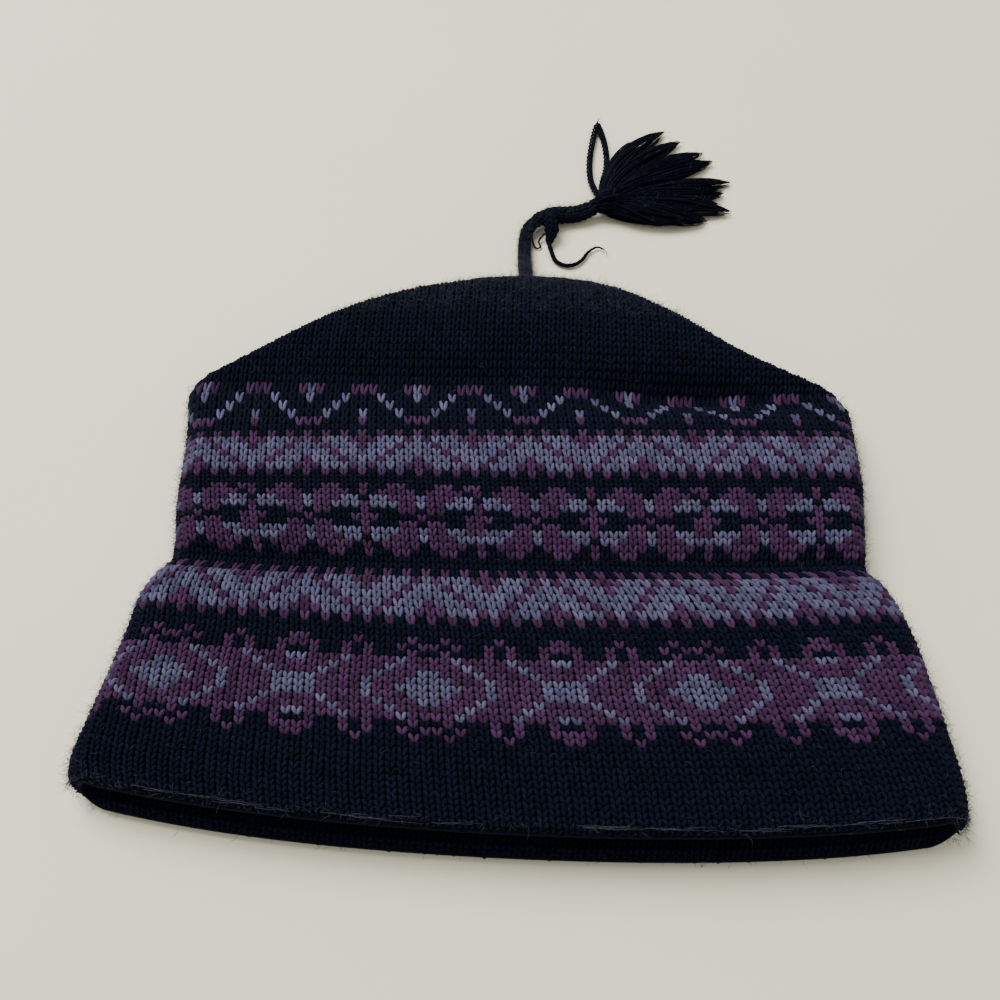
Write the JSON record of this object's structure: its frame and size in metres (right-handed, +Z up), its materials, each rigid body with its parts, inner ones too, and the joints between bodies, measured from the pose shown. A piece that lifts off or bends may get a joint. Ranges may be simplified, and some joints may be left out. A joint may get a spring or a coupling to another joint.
{
  "type": "knitted winter hat with a cord and tassel",
  "caption": "Stranded-knit winter hat lying flat, with a folded hem, an open mouth, a gathered crown and a cord with a tassel",
  "frame": {"origin": "on the surface under the middle of the hat's own box, without the cord and tassel", "axes": "+X to the hat's right, +Y from the mouth to the crown, +Z up; the hat lies flat on z = 0"},
  "size_m": [0.272, 0.3396, 0.0273],
  "materials": {
    "patterned_wool": "stranded knitting in navy, plum and grey-blue wool",
    "navy_wool": "dark navy wool yarn"
  },
  "bodies": {
    "root": {"knitted_shell": "patterned_wool", "hem_facing": "navy_wool", "crown_cord": "navy_wool", "cord_knot": "navy_wool", "tassel_cord": "navy_wool", "yarn_end": "navy_wool", "yarn_loop": "navy_wool", "tassel": "navy_wool"}
  },
  "joints": []
}
